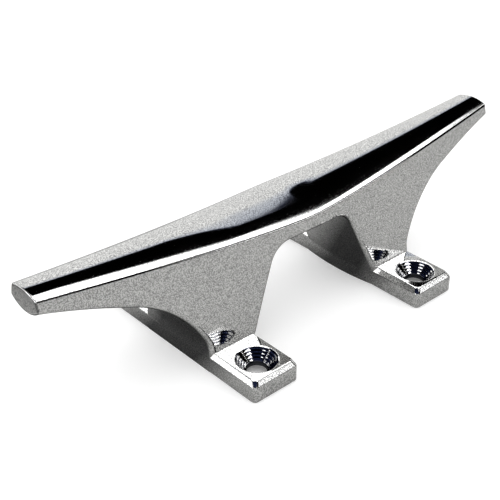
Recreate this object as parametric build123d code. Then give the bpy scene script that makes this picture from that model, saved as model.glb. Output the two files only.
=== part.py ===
from build123d import *
from math import sqrt
import os

# Open-base horn cleat, 203 mm long, made as a horn bar bolted down onto two legs.
# Frame: +X along the horns, +Z up, origin on the deck under the middle of the cleat.
# All sizes in millimetres.

# ---- horn bar ----
HALF_LENGTH = 101.5
EDGE_Z_MID = 39.4        # height of the crown's edge at mid length
EDGE_RISE = 7.7          # how much higher that edge is at the tips
EDGE_POWER = 1.5         # how the rise grows along the horn
EDGE_ROUNDING = 0.1      # softens the bend at mid length, as a share of the half length
HALF_WIDTH_MID = 14.1    # half width at the crown's edge, mid length
HALF_WIDTH_TIP = 6.4
PLAN_ROUNDING = 0.1      # softens the widest point of the lozenge plan
CROWN_RATIO = 0.19       # crown height over half width
LIP_R = 1.5              # rolled edge between crown and side
ARCH_TOP_Z = 33.7
ARCH_CORNER_R = 9.0
TIP_CORNER_Z = 41.2      # underside of the horn at its end face
TIP_LOW_Z = 41.0         # lowest point of the cone that rounds the underside there
TIP_ROUND_R = 8.0
TIP_CONE_ROOT_R = 240.0
EDGE_FILLET = 1.8        # rounding of the long edges round the arch and the legs
CROWN_STATIONS = 9       # sections in each half of the horn loft
PAST_END = 1.0           # how far cutting shapes run past the faces that they cut
CLOSE = 0.1              # two heights nearer than this count as the same

# ---- legs ----
SEAM_Z = 26.5            # the legs end here and the horn bar starts
LEG_IN_FOOT_X = 29.2     # inner side of the leg at the foot
LEG_IN_START_Z = 5.0
LEG_IN_LEAN = 0.447      # inward run of the inner side for each mm of height
LEG_ARC_X = 86.5         # centre and radius of the leg's hollow outer side
LEG_ARC_Z = -6.1
LEG_ARC_R = 42.0
LEG_BULGE = 1.4          # how far the leg's two end faces swell at the deck
MIN_BULGE = 0.05         # what is left of that swelling at the seam
LEG_STATIONS = 7         # sections in the leg's loft, less one
WEB_BASE_Y = 17.5        # half depth of the leg where it meets the tab tops

# ---- feet ----
FOOT_X = 38.6            # middle of each foot bar
FOOT_WIDTH = 18.9
FOOT_HALF_DEPTH = 37.8
TAB_SIDE_Z = 5.6         # height of the tab's upright sides
TAB_TOP_Z = 7.6
BEVEL_SIDE = 1.1         # inset of the tab top along its sides and at its end
BEVEL_END = 1.3
FOOT_CORNER_R = 1.6
RELIEF_DEPTH = 2.4       # cored pocket under each foot
RELIEF_RIM = 2.6
RELIEF_R = 2.5

# ---- deck screw holes ----
HOLE_Y = 28.4
HOLE_D = 6.8             # clearance for a 1/4 in machine screw
SINK_D = 14.0            # countersink at the tab top, 90 degrees included

# ---- joint between leg and horn bar ----
TENON_LENGTH = 16.0
TENON_WIDTH = 9.0
TENON_HEIGHT = 5.0
TENON_X = 37.5
TENON_R = 2.0
TENON_GAP = 0.1          # clearance all round the tenon
SCREW_D = 5.0            # M5 socket-head cap screw
SCREW_HOLE_D = 5.4
SCREW_HEAD_D = 8.5
SCREW_HEAD_H = 5.0
SCREW_SOCKET_AF = 4.0
SCREW_SOCKET_DEPTH = 2.6
SCREW_CHAMFER = 0.5
SCREW_Y = 9.5
SCREW_X = 37.5
SCREW_TOP_Z = 34.5       # end of the screw, inside the horn bar
COUNTERBORE_D = 9.6
COUNTERBORE_Z = 10.0     # seat of the lock washer above the deck
WASHER_OD = 8.9
WASHER_ID = 5.2
WASHER_T = 1.2
WASHER_SPLIT = 0.9
TAPPED_TOP_Z = 36.0
TAPPED_GAP = 0.1


def softened(t, rounding, power):
    """A rise from 0 at t = 0 to 1 at t = 1, with its start rounded off instead of bent."""
    start = rounding**power
    return ((t**2 + rounding**2) ** (power / 2) - start) / ((1 + rounding**2) ** (power / 2) - start)


def edge_z(x):
    """Height of the crown's edge at station x."""
    return EDGE_Z_MID + EDGE_RISE * softened(x / HALF_LENGTH, EDGE_ROUNDING, EDGE_POWER)


def edge_half_width(x):
    """Half width of the plan lozenge at station x."""
    return HALF_WIDTH_MID - (HALF_WIDTH_MID - HALF_WIDTH_TIP) * softened(x / HALF_LENGTH, PLAN_ROUNDING, 1)


def wall_y(x, z):
    """Half depth of the side wall: straight from the crown's edge to the foot of the web."""
    drop = (edge_z(x) - z) / (edge_z(x) - TAB_TOP_Z)
    return edge_half_width(x) + (WEB_BASE_Y - edge_half_width(x)) * drop


def leg_inner_x(z):
    return LEG_IN_FOOT_X - LEG_IN_LEAN * max(z - LEG_IN_START_Z, 0)


def leg_outer_x(z):
    return LEG_ARC_X - sqrt(LEG_ARC_R**2 - (z - LEG_ARC_Z) ** 2)


def horn_section(x):
    """Cross-section at x: crown, rolled lips and leaning sides carried down to the deck."""
    half = edge_half_width(x)
    top = edge_z(x)
    low = wall_y(x, 0)
    crown = ThreePointArc((half, top), (0, top + CROWN_RATIO * half), (-half, top))
    rest = Polyline((-half, top), (-low, 0), (low, 0), (half, top))
    face = make_face(Plane.YZ * (crown + rest))
    lips = face.vertices().sort_by(Axis.Z)[-2:]
    return Pos(x, 0, 0) * fillet(lips, LIP_R)


def tall_bar():
    """The whole plan of the cleat with its crown, and its leaning sides down to the deck."""
    steps = range(-CROWN_STATIONS, CROWN_STATIONS + 1)
    return loft([horn_section(HALF_LENGTH * i / CROWN_STATIONS) for i in steps])


def side_profile():
    """Side view of the horn bar: undersides of the horns, the two stubs and the arch."""
    end = leg_outer_x(ARCH_TOP_Z)
    seam_out = leg_outer_x(SEAM_Z)
    seam_in = leg_inner_x(SEAM_Z)
    arch_x = leg_inner_x(ARCH_TOP_Z)
    mid_z = (SEAM_Z + ARCH_TOP_Z) / 2
    tip_x = HALF_LENGTH + PAST_END
    roof = EDGE_Z_MID + 2 * EDGE_RISE
    outer = ThreePointArc((seam_out, SEAM_Z), (leg_outer_x(mid_z), mid_z), (end, ARCH_TOP_Z))
    top = Polyline(
        (end, ARCH_TOP_Z), (tip_x, TIP_CORNER_Z), (tip_x, roof),
        (-tip_x, roof), (-tip_x, TIP_CORNER_Z), (-end, ARCH_TOP_Z),
    )
    outer_left = ThreePointArc((-end, ARCH_TOP_Z), (-leg_outer_x(mid_z), mid_z), (-seam_out, SEAM_Z))
    arch = Polyline(
        (-seam_out, SEAM_Z), (-seam_in, SEAM_Z), (-arch_x, ARCH_TOP_Z),
        (arch_x, ARCH_TOP_Z), (seam_in, SEAM_Z), (seam_out, SEAM_Z),
    )
    face = make_face(Plane.XZ * (outer + top + outer_left + arch))
    corners = [v for v in face.vertices() if abs(v.X) < arch_x + CLOSE and v.Z < ARCH_TOP_Z + CLOSE]
    return fillet(corners, ARCH_CORNER_R)


def rounded_outline(bar):
    """Round the long lower edges of the bar on both sides, from tip to tip."""
    edges = []
    for edge in bar.edges():
        middle = edge @ 0.5
        box = edge.bounding_box()
        below_crown = SEAM_Z + CLOSE < box.max.Z < TIP_CORNER_Z + LIP_R
        along_bar = box.size.X > CLOSE
        if below_crown and along_bar and abs(middle.Y) > HALF_WIDTH_TIP:
            edges.append(edge)
    return fillet(edges, EDGE_FILLET)


def tip_cone(side):
    """A widening cone that rounds the underside of one horn into a D shape at its end face."""
    tip_centre = TIP_LOW_Z + TIP_ROUND_R
    tip = Plane.YZ.offset(side * (HALF_LENGTH + PAST_END)) * (Pos(0, tip_centre) * Circle(TIP_ROUND_R))
    root = Plane.YZ.offset(-side * HALF_LENGTH) * (Pos(0, tip_centre) * Circle(TIP_CONE_ROOT_R))
    return loft([tip, root] if side < 0 else [root, tip])


def horn_bar():
    """Crown, both horns, the top of the arch and the two stubs, pocketed and tapped from below."""
    bar = tall_bar() & extrude(side_profile(), 2 * WEB_BASE_Y, both=True)
    bar = rounded_outline(bar)
    for side in (-1, 1):
        bar = bar & tip_cone(side)
        bar -= tenon(side, TENON_GAP)
        for y in (-SCREW_Y, SCREW_Y):
            tapped = cylinder(SCREW_D + TAPPED_GAP, SEAM_Z, TAPPED_TOP_Z)
            bar -= Pos(side * SCREW_X, y, 0) * tapped
    return bar


def cylinder(diameter, bottom, top):
    """An upright cylinder on the Z axis between two heights."""
    solid = Cylinder(diameter / 2, top - bottom, align=(Align.CENTER, Align.CENTER, Align.MIN))
    return Pos(0, 0, bottom) * solid


def tenon(side, gap):
    """The block on top of a leg that locates it in the horn bar, grown by gap on every face."""
    block = Box(
        TENON_LENGTH + 2 * gap, TENON_WIDTH + 2 * gap, TENON_HEIGHT + gap,
        align=(Align.CENTER, Align.CENTER, Align.MIN),
    )
    block = fillet(block.edges().filter_by(Axis.Z), TENON_R)
    return Pos(side * TENON_X, 0, SEAM_Z) * block


def leg_section(z):
    """Plan section of the right leg at height z, with swelling end faces and rounded corners."""
    x_in = leg_inner_x(z)
    x_out = leg_outer_x(max(z, TAB_SIDE_Z))
    y_in = wall_y(x_in, max(z, TAB_TOP_Z))
    y_out = wall_y(x_out, max(z, TAB_TOP_Z))
    swell = LEG_BULGE * (1 - z / SEAM_Z) + MIN_BULGE
    outer = ThreePointArc((x_out, -y_out), (x_out + swell, 0), (x_out, y_out))
    far = Line((x_out, y_out), (x_in, y_in))
    inner = ThreePointArc((x_in, y_in), (x_in - swell, 0), (x_in, -y_in))
    near = Line((x_in, -y_in), (x_out, -y_out))
    face = make_face(outer + far + inner + near)
    return Pos(0, 0, z) * fillet(face.vertices(), EDGE_FILLET)


def foot_outline(inset_x, inset_y, z):
    """Plan of the foot bar at height z, drawn in from its widest outline."""
    outline = RectangleRounded(FOOT_WIDTH - 2 * inset_x, 2 * (FOOT_HALF_DEPTH - inset_y), FOOT_CORNER_R)
    return Pos(FOOT_X, 0, z) * outline


def foot_bar():
    """The bar across the leg's bottom; its two ends are the tabs with bevelled tops."""
    lower = extrude(foot_outline(0, 0, 0), TAB_SIDE_Z)
    upper = loft([foot_outline(0, 0, TAB_SIDE_Z), foot_outline(BEVEL_SIDE, BEVEL_END, TAB_TOP_Z)])
    return lower + upper


def deck_screw_hole():
    """Through hole with its countersink, on the Z axis."""
    sink_depth = (SINK_D - HOLE_D) / 2
    cone = Cone(HOLE_D / 2, SINK_D / 2, sink_depth, align=(Align.CENTER, Align.CENTER, Align.MAX))
    return cylinder(HOLE_D, -PAST_END, TAB_TOP_Z) + Pos(0, 0, TAB_TOP_Z) * cone


def relief_pocket():
    """The cored hollow under a foot, which leaves a flat rim to bear on the deck."""
    width = FOOT_WIDTH - 2 * RELIEF_RIM
    depth = 2 * (FOOT_HALF_DEPTH - RELIEF_RIM)
    return Pos(FOOT_X, 0, 0) * extrude(RectangleRounded(width, depth, RELIEF_R), RELIEF_DEPTH)


def right_leg():
    """One leg with its foot bar, tenon, deck screw holes and the bores for the cap screws."""
    heights = [SEAM_Z * i / LEG_STATIONS for i in range(LEG_STATIONS + 1)]
    leg = loft([leg_section(z) for z in heights]) + foot_bar() + tenon(1, 0)
    leg -= relief_pocket()
    for y in (-HOLE_Y, HOLE_Y):
        leg -= Pos(FOOT_X, y, 0) * deck_screw_hole()
    for y in (-SCREW_Y, SCREW_Y):
        leg -= Pos(SCREW_X, y, 0) * cylinder(SCREW_HOLE_D, 0, SEAM_Z)
        leg -= Pos(SCREW_X, y, 0) * cylinder(COUNTERBORE_D, 0, COUNTERBORE_Z)
    return leg


def cap_screw():
    """M5 socket-head cap screw standing on its head, driven upwards from under the leg."""
    seat = COUNTERBORE_Z - WASHER_T
    head = cylinder(SCREW_HEAD_D, seat - SCREW_HEAD_H, seat)
    head = chamfer(head.edges().sort_by(Axis.Z)[0], SCREW_CHAMFER)
    shank = cylinder(SCREW_D, seat, SCREW_TOP_Z)
    shank = chamfer(shank.edges().sort_by(Axis.Z)[-1], SCREW_CHAMFER)
    socket = RegularPolygon(SCREW_SOCKET_AF / 2, 6, major_radius=False)
    return head + shank - Pos(0, 0, seat - SCREW_HEAD_H) * extrude(socket, SCREW_SOCKET_DEPTH)


def lock_washer():
    """Split spring washer between a cap screw's head and its seat."""
    ring = cylinder(WASHER_OD, COUNTERBORE_Z - WASHER_T, COUNTERBORE_Z)
    ring -= cylinder(WASHER_ID, COUNTERBORE_Z - WASHER_T, COUNTERBORE_Z)
    gap = Pos(WASHER_OD / 2, 0, COUNTERBORE_Z) * Box(WASHER_OD, WASHER_SPLIT, 3 * WASHER_T)
    return ring - gap


def parts():
    """Every node of the cleat, by name."""
    leg = right_leg()
    nodes = {
        "horn_bar": horn_bar(),
        "right_leg": leg,
        "left_leg": mirror(leg, Plane.YZ),
    }
    for side_name, side in (("left", -1), ("right", 1)):
        for end_name, y in (("front", -SCREW_Y), ("rear", SCREW_Y)):
            place = Pos(side * SCREW_X, y, 0)
            nodes[f"{side_name}_{end_name}_cap_screw"] = place * cap_screw()
            nodes[f"{side_name}_{end_name}_lock_washer"] = place * lock_washer()
    return nodes


os.makedirs("parts", exist_ok=True)
for name, shape in parts().items():
    export_step(shape, f"parts/{name}.step")
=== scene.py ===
import math

import bmesh
import bpy
from mathutils import Matrix, Vector


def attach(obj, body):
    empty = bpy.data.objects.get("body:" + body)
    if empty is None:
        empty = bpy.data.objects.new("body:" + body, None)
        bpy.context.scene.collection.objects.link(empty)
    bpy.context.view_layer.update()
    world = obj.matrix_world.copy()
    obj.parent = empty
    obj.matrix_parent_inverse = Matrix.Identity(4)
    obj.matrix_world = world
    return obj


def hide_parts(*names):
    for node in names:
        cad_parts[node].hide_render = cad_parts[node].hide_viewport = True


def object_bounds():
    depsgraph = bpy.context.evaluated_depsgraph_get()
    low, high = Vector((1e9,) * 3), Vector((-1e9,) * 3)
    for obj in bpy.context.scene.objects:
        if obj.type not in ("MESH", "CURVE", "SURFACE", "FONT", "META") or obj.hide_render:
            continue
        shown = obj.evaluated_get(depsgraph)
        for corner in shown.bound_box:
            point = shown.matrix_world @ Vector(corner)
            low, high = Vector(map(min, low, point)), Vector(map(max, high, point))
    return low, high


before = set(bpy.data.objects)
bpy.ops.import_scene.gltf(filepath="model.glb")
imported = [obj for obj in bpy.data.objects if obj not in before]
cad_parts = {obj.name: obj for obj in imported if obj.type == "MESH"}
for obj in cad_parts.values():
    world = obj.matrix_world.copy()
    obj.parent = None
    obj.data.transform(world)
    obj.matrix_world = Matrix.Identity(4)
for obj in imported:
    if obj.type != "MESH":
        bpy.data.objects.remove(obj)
cad_low, cad_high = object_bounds()

MM = 0.001

# ---- driving sizes of the cleat, in millimetres, the same as in the CAD source ----
HALF_LENGTH = cad_high.x / MM
EDGE_Z_MID = 39.4            # height of the crown's edge at mid length
EDGE_RISE = 7.7              # how much higher that edge is at the tips
EDGE_POWER = 1.5             # how the rise grows along the horn
EDGE_ROUNDING = 0.1          # softens the bend at mid length, as a share of the half length
HALF_WIDTH_MID = 14.1        # half width at the crown's edge, mid length
HALF_WIDTH_TIP = 6.4
PLAN_ROUNDING = 0.1          # softens the widest point of the lozenge plan
CROWN_RATIO = 0.19           # crown height over half width
LIP_R = 1.5                  # rolled edge between crown and side
ARCH_TOP_Z = 33.7
ARCH_CORNER_R = 9.0
EDGE_FILLET = 1.8            # rounding of the long edges round the arch and the legs
SEAM_Z = 26.5                # the legs end here and the horn bar starts
LEG_IN_FOOT_X = 29.2         # inner side of the leg at the foot
LEG_IN_START_Z = 5.0
LEG_IN_LEAN = 0.447          # inward run of the inner side for each millimetre of height
LEG_ARC_X = 86.5             # centre and radius of the leg's hollow outer side
LEG_ARC_Z = -6.1
LEG_ARC_R = 42.0
WEB_BASE_Y = 17.5            # half depth of the leg where it meets the tab tops
FOOT_X = 38.6                # middle of each foot bar
FOOT_WIDTH = 18.9
FOOT_HALF_DEPTH = 37.8
TAB_SIDE_Z = 5.6             # height of the tab's upright sides
TAB_TOP_Z = 7.6
BEVEL_SIDE = 1.1             # inset of the tab top along its sides and at its end
BEVEL_END = 1.3
FOOT_CORNER_R = 1.6
RELIEF_DEPTH = 2.4           # cored pocket under each foot
RELIEF_RIM = 2.6
RELIEF_R = 2.5
HOLE_Y = 28.4
HOLE_D = 6.8
SINK_D = 14.0                # countersink at the tab top, 90 degrees included
TENON_LENGTH = 16.0
TENON_WIDTH = 9.0
TENON_HEIGHT = 5.0
TENON_X = 37.5
TENON_R = 2.0
TENON_GAP = 0.1              # clearance all round the tenon
SCREW_X = 37.5
SCREW_Y = 9.5
SCREW_HOLE_D = 5.4
COUNTERBORE_D = 9.6
COUNTERBORE_Z = 10.0         # seat of the lock washer above the deck
TAPPED_D = 5.1
TAPPED_TOP_Z = 36.0

# ---- finer shape and finish of the visible casting, beyond the CAD solids ----
UNDERSIDE_TIP_Z = 42.5       # underside of the horn at its end face, at the sides
UNDERSIDE_BOW = 0.5          # how far that underside bows up between the tip and the leg
TIP_BELLY_ANGLE = 38.0       # degrees between that rounded underside and its chord, at the tip
TIP_FILLET = 0.7             # rolled rim of the end face
LEG_BULGE_ANGLE = 10.0       # degrees between a leg's swelling end face and its chord, at the deck
EDGE_SOFTENING = 0.35        # worn edges of the feet and of the countersinks
FLARE_GAP = 0.03             # the leg's outer side runs down this far inside the foot's side
FLARE_BEND = 0.6             # width of the soft bend between the two
FLARE_RISE = 5.0             # height over which that bend opens
CUT_MARGIN = 1.0             # how far cutting shapes run past the faces that they cut
STUB_DEPTH = 2.5             # the bar's stubs reach this far below the seam before it trims them
STUB_STEP = 0.2              # from the last column of a stub's side to the first of its bottom
RIM_ROLL = (1.4, 0.1)        # run and rise of the worn countersink rim, as shares of the softening
FLAT_START_X = -52.0         # where the polisher's flat on the crown fades in and out
FLAT_FULL_X = (-24.0, 1.0)
FLAT_END_X = 9.0
FLAT_FAR_END_X = 16.0        # it dies out more slowly towards the far side
FLAT_END_DELAY = 0.3         # share of the flat's width before that starts
FLAT_NEAR = -0.54            # its near and far limits, as shares of the half width
FLAT_FAR = -0.06
FLAT_TILT = 9.0              # how much the flat turns away from the round crown, in degrees

# ---- how finely the skins are divided ----
CROWN_STEPS = 26             # along a half-section of the bar
LIP_STEPS = 10
WALL_STEPS = 12
UNDERSIDE_STEPS = 12
FILLET_STEPS = 10
HORN_ROWS = 60               # along the bar's outline, from the tip to mid length
STUB_SIDE_ROWS = 24
STUB_BOTTOM_ROWS = 50
ARCH_SIDE_ROWS = 8
ARCH_CORNER_ROWS = 16
ARCH_TOP_ROWS = 24
TIP_FILLET_STEPS = 8
LEG_LEVELS = 48
LEG_END_STEPS = 14           # half way across a leg's end face
LEG_SIDE_STEPS = 24
CORNER_STEPS = 10
BEND_STEPS = 5
TURN_STEPS = 96              # round the countersinks
TAPPED_STEPS = 40
BORE_STEPS = 48
SEAT_STEPS = 64
STRAIGHT = 1e-4              # an arc that meets its chord at a smaller angle counts as straight
WELD = 1e-7                  # points of a cut nearer than this are one, in metres
SHARP_ANGLE = 32.0           # edges that turn by more degrees stay crisp


# ---------------------------------------------------------------- shape of the casting

def softened(t, rounding, power):
    """A rise from 0 at t = 0 to 1 at t = 1, with its start rounded off instead of bent."""
    start = rounding**power
    now = (t**2 + rounding**2) ** (power / 2)
    end = (1 + rounding**2) ** (power / 2)
    return (now - start) / (end - start)


def edge_z(x):
    """Height of the crown's edge at station x."""
    return EDGE_Z_MID + EDGE_RISE * softened(x / HALF_LENGTH, EDGE_ROUNDING, EDGE_POWER)


def edge_half_width(x):
    """Half width of the plan lozenge at station x."""
    taper = softened(x / HALF_LENGTH, PLAN_ROUNDING, 1)
    return HALF_WIDTH_MID - (HALF_WIDTH_MID - HALF_WIDTH_TIP) * taper


def wall_lean(x):
    """How far the side wall moves out for each millimetre down."""
    return (WEB_BASE_Y - edge_half_width(x)) / (edge_z(x) - TAB_TOP_Z)


def wall_y(x, z):
    """Half depth of the side wall."""
    return edge_half_width(x) + wall_lean(x) * (edge_z(x) - z)


def leg_inner_x(z, depth=0.0):
    """Inner side of the leg at height z, or the line a given depth inside the metal."""
    surface = LEG_IN_FOOT_X - LEG_IN_LEAN * max(z - LEG_IN_START_Z, 0)
    return surface + depth * math.hypot(LEG_IN_LEAN, 1)


def leg_outer_x(z, depth=0.0):
    """Hollow outer side of the leg at height z, or the arc a given depth inside the metal."""
    return LEG_ARC_X - math.sqrt((LEG_ARC_R + depth) ** 2 - (z - LEG_ARC_Z) ** 2)


def flared(x, z):
    """The leg's outer side at x, height z, kept from falling behind the foot's side."""
    limit = FOOT_X + FOOT_WIDTH / 2 - FLARE_GAP
    width = FLARE_BEND * min(max((z - TAB_SIDE_Z) / FLARE_RISE, 0), 1) * (1 - z / SEAM_Z)
    return (x + limit + math.hypot(x - limit, width)) / 2


def crown_and_lip(x):
    """Points (y, z) from the middle of the crown over the rolled lip to the side wall's top."""
    half, top, lean = edge_half_width(x), edge_z(x), wall_lean(x)
    rise = CROWN_RATIO * half
    radius = (half**2 + rise**2) / (2 * rise)
    centre_z = top + rise - radius
    length = math.hypot(lean, 1)
    out_y, out_z = 1 / length, lean / length
    down_y, down_z = lean / length, -1 / length
    # the lip's centre lies LIP_R inside the wall and LIP_R inside the crown's circle
    base_y = half - LIP_R * out_y
    base_z = top - LIP_R * out_z - centre_z
    b = base_y * down_y + base_z * down_z
    c = base_y**2 + base_z**2 - (radius - LIP_R) ** 2
    run = -b - math.sqrt(b * b - c)
    if run < 0:
        run = -b + math.sqrt(b * b - c)
    lip_y = base_y + run * down_y
    lip_z = base_z + run * down_z
    start = math.atan2(lip_y, lip_z)
    end = math.atan2(out_y, out_z)
    points = []
    for i in range(CROWN_STEPS):
        a = start * i / CROWN_STEPS
        points.append((radius * math.sin(a), centre_z + radius * math.cos(a)))
    for i in range(LIP_STEPS + 1):
        a = start + (end - start) * i / LIP_STEPS
        points.append((lip_y + LIP_R * math.sin(a), centre_z + lip_z + LIP_R * math.cos(a)))
    return points


def horn_underside():
    """Rows along the underside of the right horn, from its tip in to the leg's outer arc.

    A row is (x, z, nx, nz, belly): a point of the outline, the direction into the metal,
    and the angle at which the rounded underside meets the sides.
    """
    end = leg_outer_x(ARCH_TOP_Z)
    slope = (UNDERSIDE_TIP_Z - ARCH_TOP_Z) / (HALF_LENGTH - end)
    rows = []
    for i in range(HORN_ROWS):
        t = 1 - i / HORN_ROWS
        run = (HALF_LENGTH - end) * t
        bow = 4 * UNDERSIDE_BOW * t * (1 - t)
        tilt = slope + 4 * UNDERSIDE_BOW * (1 - 2 * t) / (HALF_LENGTH - end)
        length = math.hypot(tilt, 1)
        belly = math.radians(TIP_BELLY_ANGLE) * t
        rows.append((end + run, ARCH_TOP_Z + slope * run + bow, -tilt / length, 1 / length, belly))
    return rows


def stub_outer(low_z):
    """Rows down the leg's hollow outer side from the horn to just under the seam."""
    high = math.asin((ARCH_TOP_Z - LEG_ARC_Z) / LEG_ARC_R)
    low = math.asin((low_z - LEG_ARC_Z) / LEG_ARC_R)
    rows = []
    for i in range(STUB_SIDE_ROWS + 1):
        a = high + (low - high) * i / STUB_SIDE_ROWS
        nx, nz = -math.cos(a), math.sin(a)
        rows.append((LEG_ARC_X + LEG_ARC_R * nx, LEG_ARC_Z + LEG_ARC_R * nz, nx, nz, 0.0))
    return rows


def stub_bottom(first_x, last_x, low_z):
    """Rows across the stub, which the seam cuts away again."""
    run = (last_x - first_x) / STUB_BOTTOM_ROWS
    return [(first_x + run * i, low_z, 0.0, 1.0, 0.0) for i in range(STUB_BOTTOM_ROWS + 1)]


def arch_rows(low_z):
    """Rows up the leg's inner side, round the arch's corner and in to mid length."""
    lean = math.atan(LEG_IN_LEAN)
    turn = math.pi / 2 - lean
    corner_x = leg_inner_x(ARCH_TOP_Z) - ARCH_CORNER_R * math.tan(turn / 2)
    corner_z = ARCH_TOP_Z - ARCH_CORNER_R
    line_end_z = corner_z + ARCH_CORNER_R * math.sin(lean)
    rows = []
    for i in range(ARCH_SIDE_ROWS):
        z = low_z + (line_end_z - low_z) * i / ARCH_SIDE_ROWS
        rows.append((leg_inner_x(z), z, math.cos(lean), math.sin(lean), 0.0))
    for i in range(ARCH_CORNER_ROWS + 1):
        a = lean + turn * i / ARCH_CORNER_ROWS
        nx, nz = math.cos(a), math.sin(a)
        rows.append((corner_x + ARCH_CORNER_R * nx, corner_z + ARCH_CORNER_R * nz, nx, nz, 0.0))
    for i in range(1, ARCH_TOP_ROWS + 1):
        rows.append((corner_x * (1 - i / ARCH_TOP_ROWS), ARCH_TOP_Z, 0.0, 1.0, 0.0))
    return rows


def outline_of_half():
    """Lower outline of the right half of the horn bar, from the tip to mid length."""
    low_z = SEAM_Z - STUB_DEPTH
    outer = stub_outer(low_z)
    arch = arch_rows(low_z)
    first_x = outer[-1][0] + EDGE_FILLET * outer[-1][2] - STUB_STEP
    last_x = arch[0][0] + EDGE_FILLET * arch[0][2] + STUB_STEP
    return horn_underside() + outer + stub_bottom(first_x, last_x, low_z) + arch


def horn_column(x, z, nx, nz, belly):
    """Half-section of the bar over one outline row: crown, lip, wall, rounding, underside."""
    foot_x, foot_z = x + EDGE_FILLET * nx, z + EDGE_FILLET * nz
    points = [(foot_x, y, level) for y, level in crown_and_lip(foot_x)]
    wall_top = points[-1][2]
    for i in range(1, WALL_STEPS):
        level = wall_top + (foot_z - wall_top) * i / WALL_STEPS
        points.append((foot_x, wall_y(foot_x, level), level))
    for i in range(FILLET_STEPS + 1):
        a = math.pi / 2 + (belly - math.pi / 2) * i / FILLET_STEPS
        depth = EDGE_FILLET * (1 - math.cos(a))
        px, pz = x + depth * nx, z + depth * nz
        points.append((px, wall_y(px, pz) - EDGE_FILLET * (1 - math.sin(a)), pz))
    side_x, side_y, side_z = points[-1]
    for i in range(1, UNDERSIDE_STEPS + 1):
        y = side_y * (1 - i / UNDERSIDE_STEPS)
        points.append((side_x, y, side_z - sag(y, side_y, belly)))
    return points


def sag(y, half, angle):
    """Height of a round arc above its chord at y, where it meets the chord's ends at an angle."""
    if angle < STRAIGHT:
        return 0.0
    radius = half / math.sin(angle)
    return math.sqrt(radius**2 - y**2) - radius * math.cos(angle)


def smooth_step(value):
    """A soft rise from 0 at value 0 to 1 at value 1."""
    value = min(max(value, 0.0), 1.0)
    return value * value * (3 - 2 * value)


def polish_flat(x, y):
    """How much the hand-polished flat, front left of the middle, lowers the crown at (x, y)."""
    fade_in = smooth_step((x - FLAT_START_X) / (FLAT_FULL_X[0] - FLAT_START_X))
    half = edge_half_width(x)
    share = y / half
    width = FLAT_FAR - FLAT_NEAR
    across = smooth_step((share - FLAT_NEAR) / width - FLAT_END_DELAY)
    end_x = FLAT_END_X + (FLAT_FAR_END_X - FLAT_END_X) * across
    fade_out = smooth_step((end_x - x) / (end_x - FLAT_FULL_X[1]))
    depth = math.tan(math.radians(FLAT_TILT)) * width * half / 2
    if share < FLAT_NEAR:
        return 0.0
    if share < FLAT_FAR:
        run = (share - FLAT_NEAR) / width
        return fade_in * fade_out * depth * (2 * run - run * run)
    return fade_in * fade_out * depth * (1 - smooth_step((share - FLAT_FAR) / (1 - FLAT_FAR)))


def polished(ring):
    """A ring of the bar with the crown's flat taken off it."""
    return [(x, y, z - polish_flat(x, y)) if z > edge_z(x) else (x, y, z) for x, y, z in ring]


def ring_of(half_points):
    """A full ring from a half-section: the rear half, then its mirror image at the front."""
    front = [(x, -y, z) for x, y, z in half_points[1:-1]]
    return list(half_points) + front[::-1]


def rounded_end(ring, side):
    """Rings that roll the end of a horn over a small fillet into its flat end face."""
    count = len(ring)
    middle_z = sum(point[2] for point in ring) / count
    inward = []
    for i in range(count):
        before, after = ring[i - 1], ring[(i + 1) % count]
        dy, dz = after[1] - before[1], after[2] - before[2]
        length = math.hypot(dy, dz)
        turn = 1 if -dz * ring[i][1] + dy * (ring[i][2] - middle_z) < 0 else -1
        inward.append((-dz / length * turn, dy / length * turn))
    rings = []
    for step in range(1, TIP_FILLET_STEPS + 1):
        a = math.pi / 2 * step / TIP_FILLET_STEPS
        inset = TIP_FILLET * (1 - math.cos(a))
        x = side * (HALF_LENGTH - TIP_FILLET + TIP_FILLET * math.sin(a))
        rings.append([(x, p[1] + inset * n[0], p[2] + inset * n[1]) for p, n in zip(ring, inward)])
    return rings


def leg_half_ring(z):
    """Half of the right leg's plan at height z, from its outer face round to its inner face."""
    wall_z = max(z, TAB_TOP_Z)
    outer_z = max(z, TAB_SIDE_Z)
    bulge = math.radians(LEG_BULGE_ANGLE) * (1 - z / SEAM_Z)
    corners = []
    for i in range(FILLET_STEPS + 1):
        a = bulge + (math.pi / 2 - bulge) * i / FILLET_STEPS
        depth = EDGE_FILLET * (1 - math.cos(a))
        drop = EDGE_FILLET * (1 - math.sin(a))
        x_out, x_in = leg_outer_x(outer_z, depth), leg_inner_x(z, depth)
        corners.append(((x_out, wall_y(x_out, wall_z) - drop), (x_in, wall_y(x_in, wall_z) - drop)))
    side_x = corners[0][0][0]
    flare = flared(side_x, z) - side_x
    outer = [(x + flare, y) for x, y in (pair[0] for pair in corners)]
    inner = [pair[1] for pair in corners][::-1]
    points = []
    for i in range(LEG_END_STEPS):
        y = outer[0][1] * i / LEG_END_STEPS
        points.append((flared(side_x + sag(y, outer[0][1], bulge), z), y, z))
    points += [(x, y, z) for x, y in outer]
    for i in range(1, LEG_SIDE_STEPS):
        x = outer[-1][0] + (inner[0][0] - outer[-1][0]) * i / LEG_SIDE_STEPS
        points.append((x, wall_y(x, wall_z), z))
    points += [(x, y, z) for x, y in inner]
    for i in range(1, LEG_END_STEPS + 1):
        y = inner[-1][1] * (1 - i / LEG_END_STEPS)
        points.append((inner[-1][0] - sag(y, inner[-1][1], bulge), y, z))
    return points


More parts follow.
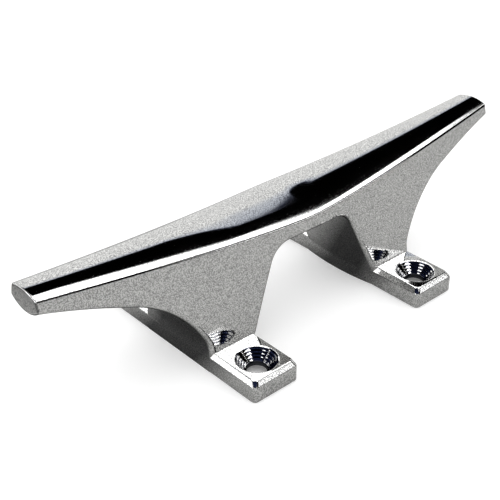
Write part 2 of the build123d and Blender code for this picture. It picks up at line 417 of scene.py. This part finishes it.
def rounded_rectangle(half_x, half_y, radius, z, centre_x):
    """A level ring with rounded corners."""
    ring = []
    for corner in range(4):
        for i in range(CORNER_STEPS + 1):
            a = math.pi / 2 * (corner + i / CORNER_STEPS)
            sx = 1 if corner in (0, 3) else -1
            sy = 1 if corner in (0, 1) else -1
            x = centre_x + sx * (half_x - radius) + radius * math.cos(a)
            y = sy * (half_y - radius) + radius * math.sin(a)
            ring.append((x, y, z))
    return ring


def bend(start, corner, end):
    """Points of a smooth bend from start to end that stays inside the corner."""
    points = []
    for i in range(BEND_STEPS + 1):
        t = i / BEND_STEPS
        k0, k1, k2 = (1 - t) ** 2, 2 * t * (1 - t), t**2
        points.append(tuple(k0 * a + k1 * b + k2 * c for a, b, c in zip(start, corner, end)))
    return points


def foot_rings():
    """The foot bar from the deck up: softened bottom edge, upright sides, bevels, flat top."""
    soft = EDGE_SOFTENING
    share = soft / (TAB_TOP_Z - TAB_SIDE_Z)
    bottom = bend((soft / BEVEL_SIDE, 0.0), (0.0, 0.0), (0.0, soft))
    shoulder = bend((0.0, TAB_SIDE_Z - soft), (0.0, TAB_SIDE_Z), (share, TAB_SIDE_Z + soft))
    brow = bend((1 - share, TAB_TOP_Z - soft), (1.0, TAB_TOP_Z), (1 + soft / BEVEL_SIDE, TAB_TOP_Z))
    rings = []
    for inset, z in bottom + shoulder + brow:
        half_x = FOOT_WIDTH / 2 - BEVEL_SIDE * inset
        half_y = FOOT_HALF_DEPTH - BEVEL_END * inset
        rings.append(rounded_rectangle(half_x, half_y, FOOT_CORNER_R, z, FOOT_X))
    return rings


def countersink_profile():
    """Radius and height up the wall of a deck screw hole, through the cone and over its rim."""
    soft = EDGE_SOFTENING
    bore, rim = HOLE_D / 2, SINK_D / 2
    cone_z = TAB_TOP_Z - (rim - bore)
    low = bend((bore, cone_z - soft), (bore, cone_z), (bore + soft, cone_z + soft))
    end = (rim + RIM_ROLL[0] * soft, TAB_TOP_Z + RIM_ROLL[1] * soft)
    high = bend((rim - soft, TAB_TOP_Z - soft), (rim, TAB_TOP_Z), end)
    return [(bore, -CUT_MARGIN)] + low + high + [(end[0], TAB_TOP_Z + CUT_MARGIN)]


# ---------------------------------------------------------------- meshes

def skin(rings):
    """A closed skin over a list of equal rings, with a flat cap on each end."""
    bm = bmesh.new()
    verts = [[bm.verts.new(Vector(point) * MM) for point in ring] for ring in rings]
    count = len(rings[0])
    for a, b in zip(verts, verts[1:]):
        for i in range(count):
            j = (i + 1) % count
            bm.faces.new((a[i], a[j], b[j], b[i]))
    bm.faces.new(verts[0][::-1])
    bm.faces.new(verts[-1])
    bmesh.ops.recalc_face_normals(bm, faces=bm.faces)
    return bm


def turned(profile, x, y, steps=TURN_STEPS):
    """A closed solid of revolution on an upright axis at (x, y), from (radius, height) pairs."""
    rings = []
    for radius, z in profile:
        angles = [2 * math.pi * i / steps for i in range(steps)]
        rings.append([(x + radius * math.cos(a), y + radius * math.sin(a), z) for a in angles])
    return skin(rings)


def object_from(bm, name):
    """A new object in the scene that holds the mesh."""
    mesh = bpy.data.meshes.new(name)
    bm.to_mesh(mesh)
    bm.free()
    piece = bpy.data.objects.new(name, mesh)
    bpy.context.scene.collection.objects.link(piece)
    return piece


def combine(piece, operation, tools):
    """Join the tool meshes to a piece or cut them from it, and drop the tools."""
    tool_objects = [object_from(bm, "tool") for bm in tools]
    for tool in tool_objects:
        step = piece.modifiers.new("combine", "BOOLEAN")
        step.operation = operation
        step.solver = "EXACT"
        step.object = tool
    bpy.context.view_layer.update()
    evaluated = piece.evaluated_get(bpy.context.evaluated_depsgraph_get())
    result = bpy.data.meshes.new_from_object(evaluated)
    piece.modifiers.clear()
    old = piece.data
    piece.data = result
    result.name = piece.name
    bpy.data.meshes.remove(old)
    for tool in tool_objects:
        bpy.data.objects.remove(tool)


def smooth(piece):
    """Smooth shading with crisp edges kept, led by the larger faces."""
    mesh = piece.data
    mesh.shade_smooth()
    mesh.set_sharp_from_angle(angle=math.radians(SHARP_ANGLE))
    weighted = piece.modifiers.new("weighted", "WEIGHTED_NORMAL")
    weighted.mode = "FACE_AREA"
    weighted.keep_sharp = True


def tenon(side, gap):
    """The block on top of a leg, or with a gap the pocket that takes it."""
    half_x, half_y = TENON_LENGTH / 2 + gap, TENON_WIDTH / 2 + gap
    heights = (SEAM_Z - CUT_MARGIN, SEAM_Z + TENON_HEIGHT + gap)
    return skin([rounded_rectangle(half_x, half_y, TENON_R, z, side * TENON_X) for z in heights])


def build_horn():
    """The horn bar as one fine skin, trimmed at the seam with the legs and bored from below."""
    right = [ring_of(horn_column(*row)) for row in outline_of_half()]
    left = [[(-x, y, z) for x, y, z in ring] for ring in right[:-1]]
    rings = [polished(ring) for ring in left + right[::-1]]
    rings = rounded_end(rings[0], -1)[::-1] + rings + rounded_end(rings[-1], 1)
    bm = skin(rings)
    geometry = bm.verts[:] + bm.edges[:] + bm.faces[:]
    seam = (0, 0, SEAM_Z * MM)
    cut = bmesh.ops.bisect_plane(
        bm, geom=geometry, plane_co=seam, plane_no=(0, 0, 1), clear_inner=True, dist=WELD
    )
    rim = [edge for edge in cut["geom_cut"] if isinstance(edge, bmesh.types.BMEdge)]
    bmesh.ops.holes_fill(bm, edges=rim, sides=0)
    bmesh.ops.recalc_face_normals(bm, faces=bm.faces)
    horn = object_from(bm, "horn")
    bores = []
    tapped = [(TAPPED_D / 2, SEAM_Z - CUT_MARGIN), (TAPPED_D / 2, TAPPED_TOP_Z)]
    for side in (-1, 1):
        bores.append(tenon(side, TENON_GAP))
        for y in (-SCREW_Y, SCREW_Y):
            bores.append(turned(tapped, side * SCREW_X, y, TAPPED_STEPS))
    combine(horn, "DIFFERENCE", bores)
    smooth(horn)
    return horn


def build_leg(side, name):
    """One leg: its leaning block, the foot bar across it, tenon, relief pocket and all holes."""
    levels = [SEAM_Z * i / LEG_LEVELS for i in range(LEG_LEVELS + 1)]
    leg = object_from(skin([ring_of(leg_half_ring(z)) for z in levels]), name)
    combine(leg, "UNION", [skin(foot_rings()), tenon(1, 0)])
    half_x, half_y = FOOT_WIDTH / 2 - RELIEF_RIM, FOOT_HALF_DEPTH - RELIEF_RIM
    heights = (-CUT_MARGIN, RELIEF_DEPTH)
    relief = [rounded_rectangle(half_x, half_y, RELIEF_R, z, FOOT_X) for z in heights]
    cuts = [skin(relief)]
    bore = [(SCREW_HOLE_D / 2, -CUT_MARGIN), (SCREW_HOLE_D / 2, SEAM_Z + CUT_MARGIN)]
    seat = [(COUNTERBORE_D / 2, -CUT_MARGIN), (COUNTERBORE_D / 2, COUNTERBORE_Z)]
    for end in (-1, 1):
        cuts.append(turned(countersink_profile(), FOOT_X, end * HOLE_Y))
        cuts.append(turned(bore, SCREW_X, end * SCREW_Y, BORE_STEPS))
        cuts.append(turned(seat, SCREW_X, end * SCREW_Y, SEAT_STEPS))
    combine(leg, "DIFFERENCE", cuts)
    if side < 0:
        leg.data.transform(Matrix.Scale(-1, 4, (1, 0, 0)))
        leg.data.flip_normals()
    smooth(leg)
    return leg


# ---------------------------------------------------------------- materials

# noise scales are in features for each metre, and bump depths in metres
HAZE_SCALE, HAZE_DETAIL = 90.0, 6.0            # slow changes of gloss
HAZE_ROUGHNESS = (0.02, 0.07)
GRAIN_SCALE, GRAIN_DETAIL = 3000.0, 0.0        # the speckle of the plating, about 0.3 mm
GRAIN_LEVELS = (0.43, 0.57)
GRAIN_COLOURS = ((0.48, 0.48, 0.48, 1), (1.0, 1.0, 0.99, 1))
RIPPLE_SCALE, RIPPLE_DETAIL = 22.0, 2.0        # waves that hand polishing left
RIPPLE_STRENGTH, RIPPLE_DEPTH = 0.05, 0.0006
RING_RATE = 7800.0           # tool rings in the countersinks, in radians for each metre of radius
RING_STRENGTH, RING_DEPTH = 0.35, 0.00004
RING_STAIN = (0.05, 0.055, 0.09, 1)
RING_STAIN_LEVELS = (0.2, 0.7)
# painted shade: a dark colour on the walls of the deck screw bores, standing in for the shade
# inside them
BORE_PAINTED_SHADE = (0.10, 0.105, 0.12, 1)
HOLE_EDGE = 0.1              # millimetres past an edge that still count as inside a hole
STEEL_SCALE, STEEL_DETAIL = 900.0, 4.0
STEEL_STRENGTH, STEEL_DEPTH = 0.15, 0.0001
STEEL_SPREAD = (0.8, 1.3)    # roughness of the grain, as shares of the steel's own
FASTENER_STEEL = ((0.35, 0.35, 0.36, 1), (0.6, 0.6, 0.61, 1))
FASTENER_ROUGHNESS = 0.28
SPRING_STEEL = ((0.16, 0.16, 0.17, 1), (0.34, 0.34, 0.35, 1))
SPRING_ROUGHNESS = 0.35


def principled(name):
    """A new material with its node tree's nodes, links and main shader."""
    material = bpy.data.materials.new(name)
    material.use_nodes = True
    nodes = material.node_tree.nodes
    return material, nodes, material.node_tree.links, nodes["Principled BSDF"]


def noise(nodes, links, where, scale, detail):
    """Noise that is fixed to the object."""
    texture = nodes.new("ShaderNodeTexNoise")
    texture.inputs["Scale"].default_value = scale
    texture.inputs["Detail"].default_value = detail
    links.new(where.outputs["Object"], texture.inputs["Vector"])
    return texture.outputs["Fac"]


def spread(nodes, links, value, low, high, from_low=0.0, from_high=1.0):
    """Map a value from one range to another."""
    change = nodes.new("ShaderNodeMapRange")
    change.inputs["From Min"].default_value = from_low
    change.inputs["From Max"].default_value = from_high
    change.inputs["To Min"].default_value = low
    change.inputs["To Max"].default_value = high
    links.new(value, change.inputs["Value"])
    return change.outputs["Result"]


def math_node(nodes, links, operation, first, second=None):
    """One arithmetic step between two values, each a socket or a number."""
    step = nodes.new("ShaderNodeMath")
    step.operation = operation
    for socket, value in zip(step.inputs, (first, second)):
        if value is None:
            continue
        if isinstance(value, (int, float)):
            socket.default_value = value
        else:
            links.new(value, socket)
    return step.outputs["Value"]


def two_tone(nodes, links, value, colours, levels=(0.0, 1.0)):
    """A colour that goes from the first to the second as the value crosses two levels."""
    ramp = nodes.new("ShaderNodeValToRGB")
    for element, level, colour in zip(ramp.color_ramp.elements, levels, colours):
        element.position = level
        element.color = colour
    links.new(value, ramp.inputs["Fac"])
    return ramp.outputs["Color"]


def colour_mix(nodes, links, factor, first, second):
    """A colour that goes from the first to the second as the factor goes from 0 to 1."""
    mix = nodes.new("ShaderNodeMix")
    mix.data_type = "RGBA"
    links.new(factor, mix.inputs["Factor"])
    for socket, colour in ((mix.inputs["A"], first), (mix.inputs["B"], second)):
        if isinstance(colour, tuple):
            socket.default_value = colour
        else:
            links.new(colour, socket)
    return mix.outputs["Result"]


def bumped(nodes, links, height, strength, depth, under=None):
    """A surface normal with relief on it, on top of another relief if one is given."""
    relief = nodes.new("ShaderNodeBump")
    relief.inputs["Strength"].default_value = strength
    relief.inputs["Distance"].default_value = depth
    links.new(height, relief.inputs["Height"])
    if under is not None:
        links.new(under, relief.inputs["Normal"])
    return relief.outputs["Normal"]


def hole_radius(nodes, links, where):
    """Distance from the axis of the nearest deck screw hole, in metres."""
    split = nodes.new("ShaderNodeSeparateXYZ")
    links.new(where.outputs["Object"], split.inputs["Vector"])
    across = math_node(nodes, links, "ABSOLUTE", split.outputs["X"])
    along = math_node(nodes, links, "ABSOLUTE", split.outputs["Y"])
    dx = math_node(nodes, links, "SUBTRACT", across, FOOT_X * MM)
    dy = math_node(nodes, links, "SUBTRACT", along, HOLE_Y * MM)
    dx2 = math_node(nodes, links, "MULTIPLY", dx, dx)
    dy2 = math_node(nodes, links, "MULTIPLY", dy, dy)
    return math_node(nodes, links, "SQRT", math_node(nodes, links, "ADD", dx2, dy2))


def chrome():
    """Bright plating over a hand-polished casting, with tool rings left in the countersinks and
    painted shade darkening the deck screw bores.
    """
    material, nodes, links, shader = principled("chrome")
    shader.inputs["Metallic"].default_value = 1.0
    where = nodes.new("ShaderNodeTexCoord")
    haze = noise(nodes, links, where, HAZE_SCALE, HAZE_DETAIL)
    links.new(spread(nodes, links, haze, *HAZE_ROUGHNESS), shader.inputs["Roughness"])
    grain = noise(nodes, links, where, GRAIN_SCALE, GRAIN_DETAIL)
    colour = two_tone(nodes, links, grain, GRAIN_COLOURS, GRAIN_LEVELS)
    radius = hole_radius(nodes, links, where)
    in_sink = math_node(nodes, links, "LESS_THAN", radius, (SINK_D / 2 + HOLE_EDGE) * MM)
    rings = math_node(nodes, links, "SINE", math_node(nodes, links, "MULTIPLY", radius, RING_RATE))
    rings = math_node(nodes, links, "MULTIPLY", rings, in_sink)
    stain = spread(nodes, links, rings, 0.0, 1.0, *RING_STAIN_LEVELS)
    colour = colour_mix(nodes, links, stain, colour, RING_STAIN)
    # painted shade: darkens the colour inside each deck screw bore
    bore_shade_mask = math_node(nodes, links, "LESS_THAN", radius, (HOLE_D / 2 + HOLE_EDGE) * MM)
    colour = colour_mix(nodes, links, bore_shade_mask, colour, BORE_PAINTED_SHADE)
    links.new(colour, shader.inputs["Base Color"])
    ripple = noise(nodes, links, where, RIPPLE_SCALE, RIPPLE_DETAIL)
    waves = bumped(nodes, links, ripple, RIPPLE_STRENGTH, RIPPLE_DEPTH)
    marks = bumped(nodes, links, rings, RING_STRENGTH, RING_DEPTH, waves)
    links.new(marks, shader.inputs["Normal"])
    return material


def steel(name, colours, roughness):
    """Turned fastener steel with fine grain."""
    material, nodes, links, shader = principled(name)
    shader.inputs["Metallic"].default_value = 1.0
    where = nodes.new("ShaderNodeTexCoord")
    grain = noise(nodes, links, where, STEEL_SCALE, STEEL_DETAIL)
    links.new(two_tone(nodes, links, grain, colours), shader.inputs["Base Color"])
    low, high = (roughness * share for share in STEEL_SPREAD)
    links.new(spread(nodes, links, grain, low, high), shader.inputs["Roughness"])
    relief = bumped(nodes, links, grain, STEEL_STRENGTH, STEEL_DEPTH)
    links.new(relief, shader.inputs["Normal"])
    return material


def give(piece, material):
    """Make the material the only one on a piece."""
    piece.data.materials.clear()
    piece.data.materials.append(material)
    for slot in piece.material_slots:
        slot.material = material


# ---------------------------------------------------------------- camera and studio

CAMERA_AZIMUTH = -42.24      # degrees
CAMERA_ELEVATION = 31.64
CAMERA_ROLL = 0.22
CAMERA_PLACE = (-213.6, -217.7, 206.9)
CAMERA_LENS = 73.67
CAMERA_SENSOR = 36.0
CAMERA_CLIP = (0.01, 50.0)   # metres

# colours of the cards
BLACK = (0.0, 0.0, 0.0)
NAVY = (0.012, 0.016, 0.04)
BLUE_GREY = (0.31, 0.33, 0.37)
SOFT_WHITE = (0.75, 0.75, 0.75)
DIM = (0.13, 0.13, 0.13)
GREY = (0.30, 0.30, 0.295)
PALE = (0.52, 0.52, 0.515)
WHITE = (1.5, 1.5, 1.5)
WORLD_LIGHT = 1.3            # brightness of the surroundings as a light
WORLD_SHEEN = 2.1            # and as they look in the chrome
CARD_LIGHT = 1.6             # brightness of a card of colour 1
CARD_RADIUS = 1500.0         # millimetres from the cleat
CARD_GRID = (24, 16)         # faces across and up
FLOOR_RADIUS = 4.0           # metres
FLOOR_STEPS = 96
FLOOR_ROUGHNESS = 0.8
FLOOR_PALE = (0.94, 0.94, 0.94, 1)
BENCH_DARK = (0.04, 0.04, 0.04, 1)     # the floor as it reads in the chrome, in the cleat's shade
BENCH_GREY = (0.36, 0.36, 0.352, 1)    # and in the open
SHADE_X = (58.0, 90.0)       # the cleat's own shade on the bench fades out between these
SHADE_Y = (7.0, 24.0)
SHADE_DRIFT = 10.0           # behind the left-hand leg it reaches this much further back
DRIFT_X = (-50.0, -5.0)
LEFT_X = (-148.0, -114.0)    # the bench darkens beyond the left-hand tip
LEFT_DIMMING = 0.1
FLOOR_FILL = 0.14            # lifts the cleat's shadow so that the floor stays pale


def make_camera():
    """The camera, in front on the left and looking down at the cleat."""
    a, e = math.radians(CAMERA_AZIMUTH), math.radians(CAMERA_ELEVATION)
    back = Vector((math.sin(a) * math.cos(e), -math.cos(a) * math.cos(e), math.sin(e)))
    data = bpy.data.cameras.new("camera")
    data.lens = CAMERA_LENS
    data.sensor_width = CAMERA_SENSOR
    data.clip_start, data.clip_end = CAMERA_CLIP
    camera = bpy.data.objects.new("camera", data)
    bpy.context.scene.collection.objects.link(camera)
    roll = Matrix.Rotation(math.radians(CAMERA_ROLL), 3, "Z")
    turn = (-back).to_track_quat("-Z", "Y").to_matrix() @ roll
    camera.matrix_world = Matrix.Translation(Vector(CAMERA_PLACE) * MM) @ turn.to_4x4()
    bpy.context.scene.camera = camera


def glow(name, stops):
    """An emitter coloured by elevation above the horizon, from (degrees, colour) stops.

    Its ramp runs over the sine of the elevation, from straight down to straight up.
    """
    material = bpy.data.materials.new(name)
    material.use_nodes = True
    nodes, links = material.node_tree.nodes, material.node_tree.links
    nodes.clear()
    where = nodes.new("ShaderNodeTexCoord")
    split = nodes.new("ShaderNodeSeparateXYZ")
    links.new(where.outputs["Object"], split.inputs["Vector"])
    height = math_node(nodes, links, "DIVIDE", split.outputs["Z"], CARD_RADIUS * MM)
    ramp = nodes.new("ShaderNodeValToRGB")
    links.new(spread(nodes, links, height, 0.0, 1.0, -1.0, 1.0), ramp.inputs["Fac"])
    elements = ramp.color_ramp.elements
    while len(elements) < len(stops):
        elements.new(0.5)
    for element, (degrees, colour) in zip(elements, stops):
        element.position = (math.sin(math.radians(degrees)) + 1) / 2
        element.color = (*colour, 1)
    light = nodes.new("ShaderNodeEmission")
    light.inputs["Strength"].default_value = CARD_LIGHT
    links.new(ramp.outputs["Color"], light.inputs["Color"])
    out = nodes.new("ShaderNodeOutputMaterial")
    links.new(light.outputs["Emission"], out.inputs["Surface"])
    return material


def card(name, azimuths, elevations, stops):
    """A curved card on a sphere round the cleat, seen only in reflections."""
    across, up = CARD_GRID
    bm = bmesh.new()
    grid = []
    for j in range(up + 1):
        e = math.radians(elevations[0] + (elevations[1] - elevations[0]) * j / up)
        line = []
        for i in range(across + 1):
            a = math.radians(azimuths[0] + (azimuths[1] - azimuths[0]) * i / across)
            spot = Vector((math.sin(a) * math.cos(e), math.cos(a) * math.cos(e), math.sin(e)))
            line.append(bm.verts.new(spot * CARD_RADIUS * MM))
        grid.append(line)
    for low, high in zip(grid, grid[1:]):
        for i in range(across):
            bm.faces.new((low[i], low[i + 1], high[i + 1], high[i]))
    piece = object_from(bm, name)
    piece.data.materials.append(glow(name, stops))
    piece.visible_camera = False
    piece.visible_diffuse = False
    piece.visible_shadow = False


def fade(nodes, links, value, ends):
    """0 below the first end and 1 past the second, both in millimetres."""
    return spread(nodes, links, value, 0.0, 1.0, ends[0] * MM, ends[1] * MM)


def bench_light(nodes, links):
    """How open the bench is at each place: 0 in the cleat's own shade, 1 away from it."""
    where = nodes.new("ShaderNodeTexCoord")
    split = nodes.new("ShaderNodeSeparateXYZ")
    links.new(where.outputs["Object"], split.inputs["Vector"])
    x, y = split.outputs["X"], split.outputs["Y"]
    along = math_node(nodes, links, "ABSOLUTE", x)
    drift = spread(nodes, links, x, SHADE_DRIFT * MM, 0.0, DRIFT_X[0] * MM, DRIFT_X[1] * MM)
    behind = math_node(nodes, links, "SUBTRACT", y, drift)
    before = math_node(nodes, links, "MULTIPLY", y, -1.0)
    across = math_node(nodes, links, "MAXIMUM", behind, before)
    clear_along = fade(nodes, links, along, SHADE_X)
    clear_across = fade(nodes, links, across, SHADE_Y)
    left = spread(nodes, links, x, LEFT_DIMMING, 1.0, LEFT_X[0] * MM, LEFT_X[1] * MM)
    clear = math_node(nodes, links, "MAXIMUM", clear_along, clear_across)
    return math_node(nodes, links, "MULTIPLY", clear, left)


def make_floor():
    """A pale floor that reads in the chrome as a grey bench, nearly black in the cleat's shade."""
    bm = bmesh.new()
    bmesh.ops.create_circle(bm, cap_ends=True, segments=FLOOR_STEPS, radius=FLOOR_RADIUS)
    floor = object_from(bm, "floor")
    material, nodes, links, shader = principled("floor")
    shader.inputs["Roughness"].default_value = FLOOR_ROUGHNESS
    bench = colour_mix(nodes, links, bench_light(nodes, links), BENCH_DARK, BENCH_GREY)
    path = nodes.new("ShaderNodeLightPath")
    seen = colour_mix(nodes, links, path.outputs["Is Glossy Ray"], FLOOR_PALE, bench)
    links.new(seen, shader.inputs["Base Color"])
    shader.inputs["Emission Color"].default_value = (1, 1, 1, 1)
    fill = spread(nodes, links, path.outputs["Is Camera Ray"], 0.0, FLOOR_FILL)
    links.new(fill, shader.inputs["Emission Strength"])
    floor.data.materials.append(material)


def make_world():
    """Even white light from all round, brighter still as the chrome reflects it."""
    world = bpy.data.worlds.new("world")
    bpy.context.scene.world = world
    world.use_nodes = True
    nodes, links = world.node_tree.nodes, world.node_tree.links
    nodes["Background"].inputs["Color"].default_value = (1, 1, 1, 1)
    path = nodes.new("ShaderNodeLightPath")
    strength = spread(nodes, links, path.outputs["Is Glossy Ray"], WORLD_LIGHT, WORLD_SHEEN)
    links.new(strength, nodes["Background"].inputs["Strength"])


def make_studio():
    """The floor and the cards. Azimuths run from the far side (+Y) towards the right tip (+X)."""
    make_world()
    make_floor()
    upright = (-3, 62)
    horizon = [(0, PALE), (27, PALE), (31.5, BLUE_GREY), (32, NAVY), (32.2, BLACK)]
    front = [(8, DIM), (12, BLACK), (37, BLACK), (39, WHITE)]
    strip = [(3, DIM), (5, BLACK), (9, BLACK), (11, SOFT_WHITE), (18, SOFT_WHITE), (20, GREY)]
    strip += [(27.5, GREY), (29, BLACK), (43, BLACK), (44, WHITE)]
    back = [(-3, DIM), (10, GREY), (30, GREY), (36, NAVY), (60, BLACK), (80, NAVY)]
    left = [(24, NAVY), (38, BLACK), (52, NAVY)]
    card("far_left_card", (-48, 48), upright, horizon + [(54.5, BLACK), (55.5, WHITE)])
    card("far_card", (48, 69.5), upright, horizon + [(51, BLACK), (52, WHITE)])
    card("far_right_card", (69.5, 76.5), upright, horizon + [(50, BLACK), (51, WHITE)])
    card("side_card", (76.5, 106), upright, horizon + [(46, BLACK), (47, WHITE)])
    card("front_right_card", (106, 129), upright, [(0, BLACK), (37, BLACK), (38, WHITE)])
    card("strip_card", (129, 152), upright, strip)
    card("front_left_card", (152, 178), upright, front)
    card("back_card", (178, 264), (-3, 80), back)
    card("left_card", (-104, -48), (24, 52), left)


# ---------------------------------------------------------------- put together

bpy.context.scene.view_settings.view_transform = "Standard"

bright = chrome()
fastener = steel("fastener_steel", FASTENER_STEEL, FASTENER_ROUGHNESS)
spring = steel("spring_steel", SPRING_STEEL, SPRING_ROUGHNESS)

castings = (
    (build_horn(), "horn_bar"),
    (build_leg(-1, "left_leg_casting"), "left_leg"),
    (build_leg(1, "right_leg_casting"), "right_leg"),
)
for piece, node in castings:
    give(piece, bright)
    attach(piece, "root")
    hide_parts(node)

for name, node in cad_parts.items():
    if name.endswith("_cap_screw"):
        give(node, fastener)
    elif name.endswith("_lock_washer"):
        give(node, spring)
    else:
        give(node, bright)

make_camera()
make_studio()
